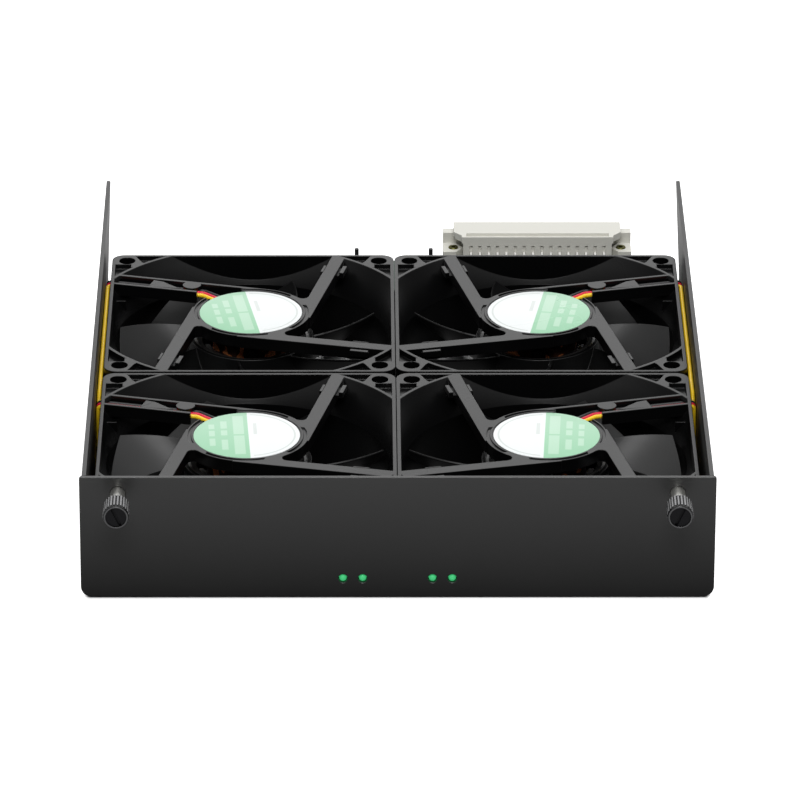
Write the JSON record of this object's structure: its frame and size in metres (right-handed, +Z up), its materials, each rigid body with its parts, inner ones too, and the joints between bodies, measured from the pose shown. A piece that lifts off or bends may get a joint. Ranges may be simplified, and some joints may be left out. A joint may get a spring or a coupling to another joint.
{
  "type": "rack fan tray",
  "caption": "Low sheet-metal rack fan tray: axial fans side by side behind a plain panel with captive thumbscrews, status lamps and a rear connector.",
  "frame": {"origin": "middle of the outline, at the underside of the floor", "axes": "+X to the right, +Y from the front panel to the rear connector, +Z up"},
  "size_m": [0.167, 0.2142, 0.035],
  "materials": {
    "tray_coat": "satin powder coat",
    "panel_coat": "satin powder coat",
    "frame_plastic": "fine moulded grain",
    "impeller_plastic": "smooth moulded",
    "yoke_steel": "zinc plated",
    "magnet_ferrite": "ground ferrite",
    "shaft_steel": "ground",
    "clip_steel": "spring steel",
    "label_film": "printed film",
    "core_steel": "laminated",
    "winding_copper": "enamelled wire",
    "motor_board_green": "solder mask",
    "bearing_steel": "ground",
    "screw_zinc": "zinc plated",
    "lead_yellow": "soft insulation",
    "lead_red": "soft insulation",
    "lead_black": "soft insulation",
    "board_green": "solder mask",
    "plug_nylon": "moulded",
    "connector_plastic": "glass-filled, moulded",
    "contact_tin": "tin plated",
    "rivet_brass": "tarnished",
    "post_nylon": "moulded",
    "lamp_green": "tinted epoxy",
    "sleeve_nickel": "polished nickel",
    "knob_black": "black anodised"
  },
  "bodies": {
    "tray": {"board_headers": "plug_nylon", "board_posts": "post_nylon", "board_screws": "screw_zinc", "board_standoffs": "rivet_brass", "chassis_tray": "tray_coat", "connector_board": "board_green", "connector_contacts": "contact_tin", "connector_housing": "connector_plastic", "connector_rivets": "rivet_brass", "fan_bearings": "bearing_steel", "fan_frame_front_left": "frame_plastic", "fan_frame_front_right": "frame_plastic", "fan_frame_rear_left": "frame_plastic", "fan_frame_rear_right": "frame_plastic", "fan_labels": "label_film", "fan_leads_black": "lead_black", "fan_leads_red": "lead_red", "fan_leads_yellow": "lead_yellow", "fan_screws": "screw_zinc", "front_panel": "panel_coat", "lamp_board": "board_green", "lamp_lead": "lead_black", "lamp_spacers": "post_nylon", "lead_plugs": "plug_nylon", "motor_boards": "motor_board_green", "panel_nuts": "screw_zinc", "panel_studs": "screw_zinc", "stator_cores": "core_steel", "stator_windings": "winding_copper", "status_lamps": "lamp_green", "thumbscrew_sleeves": "sleeve_nickel", "thumbscrew_springs": "clip_steel"},
    "rotor_front_left": {"impeller_front_left": "impeller_plastic", "rotor_yoke_front_left": "yoke_steel", "rotor_magnet_front_left": "magnet_ferrite", "rotor_shaft_front_left": "shaft_steel", "shaft_clip_front_left": "clip_steel"},
    "rotor_front_right": {"impeller_front_right": "impeller_plastic", "rotor_yoke_front_right": "yoke_steel", "rotor_magnet_front_right": "magnet_ferrite", "rotor_shaft_front_right": "shaft_steel", "shaft_clip_front_right": "clip_steel"},
    "rotor_rear_left": {"impeller_rear_left": "impeller_plastic", "rotor_yoke_rear_left": "yoke_steel", "rotor_magnet_rear_left": "magnet_ferrite", "rotor_shaft_rear_left": "shaft_steel", "shaft_clip_rear_left": "clip_steel"},
    "rotor_rear_right": {"impeller_rear_right": "impeller_plastic", "rotor_yoke_rear_right": "yoke_steel", "rotor_magnet_rear_right": "magnet_ferrite", "rotor_shaft_rear_right": "shaft_steel", "shaft_clip_rear_right": "clip_steel"},
    "thumb_slider_left": {"thumbscrew_washer_left": "clip_steel"},
    "thumbscrew_left": {"thumbscrew_knob_left": "knob_black", "thumbscrew_screw_left": "knob_black", "thumbscrew_clip_left": "clip_steel"},
    "thumb_slider_right": {"thumbscrew_washer_right": "clip_steel"},
    "thumbscrew_right": {"thumbscrew_knob_right": "knob_black", "thumbscrew_screw_right": "knob_black", "thumbscrew_clip_right": "clip_steel"}
  },
  "joints": [
    {"name": "spin_front_left", "type": "hinge", "parent": "tray", "child": "rotor_front_left", "pos_m": [-0.0401, -0.04745, 0.0137], "axis": [0, 0, 1], "continuous": true},
    {"name": "spin_front_right", "type": "hinge", "parent": "tray", "child": "rotor_front_right", "pos_m": [0.0401, -0.04745, 0.0137], "axis": [0, 0, 1], "continuous": true},
    {"name": "spin_rear_left", "type": "hinge", "parent": "tray", "child": "rotor_rear_left", "pos_m": [-0.0401, 0.03355, 0.0137], "axis": [0, 0, 1], "continuous": true},
    {"name": "spin_rear_right", "type": "hinge", "parent": "tray", "child": "rotor_rear_right", "pos_m": [0.0401, 0.03355, 0.0137], "axis": [0, 0, 1], "continuous": true},
    {"name": "press_left", "type": "slide", "parent": "tray", "child": "thumb_slider_left", "axis": [0, 1, 0], "range_m": [0, 0.004], "stiffness_N_per_m": 250, "springref_m": -0.006},
    {"name": "turn_left", "type": "hinge", "parent": "thumb_slider_left", "child": "thumbscrew_left", "pos_m": [-0.0734, -0.10705, 0.0303], "axis": [0, 1, 0], "continuous": true},
    {"name": "press_right", "type": "slide", "parent": "tray", "child": "thumb_slider_right", "axis": [0, 1, 0], "range_m": [0, 0.004], "stiffness_N_per_m": 250, "springref_m": -0.006},
    {"name": "turn_right", "type": "hinge", "parent": "thumb_slider_right", "child": "thumbscrew_right", "pos_m": [0.0734, -0.10705, 0.0303], "axis": [0, 1, 0], "continuous": true}
  ]
}
